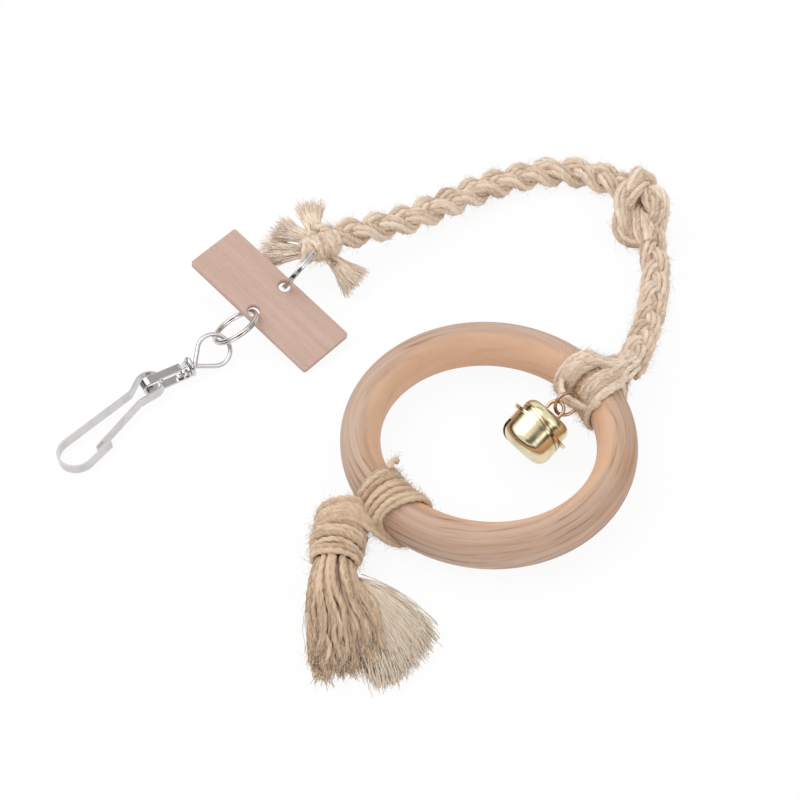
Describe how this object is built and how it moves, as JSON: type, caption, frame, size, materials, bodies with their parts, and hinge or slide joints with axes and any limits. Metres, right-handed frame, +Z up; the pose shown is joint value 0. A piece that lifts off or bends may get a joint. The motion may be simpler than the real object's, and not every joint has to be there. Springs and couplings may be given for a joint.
{
  "type": "bird swing",
  "caption": "Wooden perch ring hung on a plaited jute rope with a knot, thin wooden bar, split rings and swivel snap hook, with a jingle bell and a jute tassel.",
  "frame": {"origin": "centre of the bounding box's bottom face, measured without the rope, on the surface that the swing lies on", "axes": "+Z up from the surface; +Y away from the viewer of the picture, from the tassel towards the bar and rope; +X from the hook towards the perch ring"},
  "size_m": [0.176, 0.1885, 0.0208],
  "materials": {
    "perch_wood": "satin",
    "bar_wood": "satin",
    "jute": "matt",
    "jute_pale": "matt",
    "nickel": "polished",
    "steel_wire": "satin",
    "bell_brass": "polished",
    "copper_wire": "polished"
  },
  "bodies": {
    "perch": {"perch_ring": "perch_wood", "ring_wrap_left": "jute", "ring_wrap_right": "jute", "rope_bight": "jute", "rope_gather": "jute", "tassel_ring_wrap": "jute"},
    "rope_lower_end": {"rope_lower": "jute"},
    "rope_upper_end": {"rope_knot": "jute", "rope_upper": "jute", "rope_tie": "jute", "tuft_top": "jute_pale", "tuft_left": "jute", "tuft_left_low": "jute_pale", "tuft_right": "jute_pale"},
    "upper_ring": {"upper_split_ring": "nickel"},
    "bar": {"wooden_bar": "bar_wood"},
    "lower_ring": {"lower_split_ring": "nickel"},
    "eye": {"wire_eye": "nickel", "stem_head": "steel_wire", "eye_collar": "nickel"},
    "swivel": {"swivel_strap": "nickel"},
    "hook": {"hook_body": "nickel"},
    "gate": {"hook_gate": "nickel"},
    "link": {"bell_link": "copper_wire"},
    "bell": {"bell_loop": "copper_wire", "bell_upper_cup": "bell_brass", "bell_lower_cup": "bell_brass"},
    "pellet": {"bell_pellet": "steel_wire"},
    "tassel": {"tassel_core": "jute", "tassel_collar": "jute", "tassel_yarns": "jute", "tassel_fray": "jute_pale"}
  },
  "joints": [
    {"name": "rope_lifts_off_perch", "type": "hinge", "parent": "perch", "child": "rope_lower_end", "pos_m": [0.0777, 0.0123, 0.0125], "axis": [0.497, -0.8678, 0], "range_deg": [0, 45]},
    {"name": "rope_turns_at_knot", "type": "hinge", "parent": "rope_lower_end", "child": "rope_upper_end", "pos_m": [0.0903, 0.0711, 0.0068], "axis": [0, 0, 1], "range_deg": [-18, 5]},
    {"name": "upper_ring_turns", "type": "hinge", "parent": "rope_upper_end", "child": "upper_ring", "pos_m": [-0.01534, 0.05093, 0.01196], "axis": [-0.7515, 0.4356, 0.4955], "range_deg": [-20, 20]},
    {"name": "bar_swings", "type": "hinge", "parent": "upper_ring", "child": "bar", "pos_m": [-0.01988, 0.04655, 0.00891], "axis": [0.1201, -0.6481, 0.752], "range_deg": [-10, 10]},
    {"name": "lower_ring_turns", "type": "hinge", "parent": "bar", "child": "lower_ring", "pos_m": [-0.03346, 0.03277, 0.00667], "axis": [-0.4796, 0.2848, 0.83], "range_deg": [-25, 25]},
    {"name": "eye_lifts", "type": "hinge", "parent": "lower_ring", "child": "eye", "pos_m": [-0.03917, 0.02932, 0.00455], "axis": [0.3235, -0.8219, 0.4689], "range_deg": [-40, 10]},
    {"name": "strap_swivels", "type": "hinge", "parent": "eye", "child": "swivel", "pos_m": [-0.04465, 0.02118, 0.0028], "axis": [-0.8572, -0.515, 0], "continuous": true},
    {"name": "hook_swings", "type": "hinge", "parent": "swivel", "child": "hook", "pos_m": [-0.05682, 0.01387, 0.0028], "axis": [-0.02, -0.0274, 0.9994], "range_deg": [-45, 45]},
    {"name": "gate_springs", "type": "hinge", "parent": "hook", "child": "gate", "pos_m": [-0.05876, 0.00749, 0.00258], "axis": [0.02, 0.0274, -0.9994], "range_deg": [0, 12], "stiffness_Nm_per_rad": 0.004},
    {"name": "link_swings", "type": "hinge", "parent": "perch", "child": "link", "pos_m": [0.06063, -0.00113, 0.0124], "axis": [-0.7712, 0.6366, 0], "range_deg": [-10, 30]},
    {"name": "bell_swings", "type": "hinge", "parent": "link", "child": "bell", "pos_m": [0.05623, -0.00207, 0.01459], "axis": [0.3366, 0.4077, 0.8488], "range_deg": [-15, 15]},
    {"name": "pellet_rattles", "type": "slide", "parent": "bell", "child": "pellet", "axis": [0.6686, 0.569, 0.4787], "range_m": [-0.0005, 0.003]},
    {"name": "tassel_swings", "type": "hinge", "parent": "perch", "child": "tassel", "pos_m": [-0.0006, -0.035, 0.00775], "axis": [0, 0, 1], "range_deg": [-48, 3]}
  ]
}
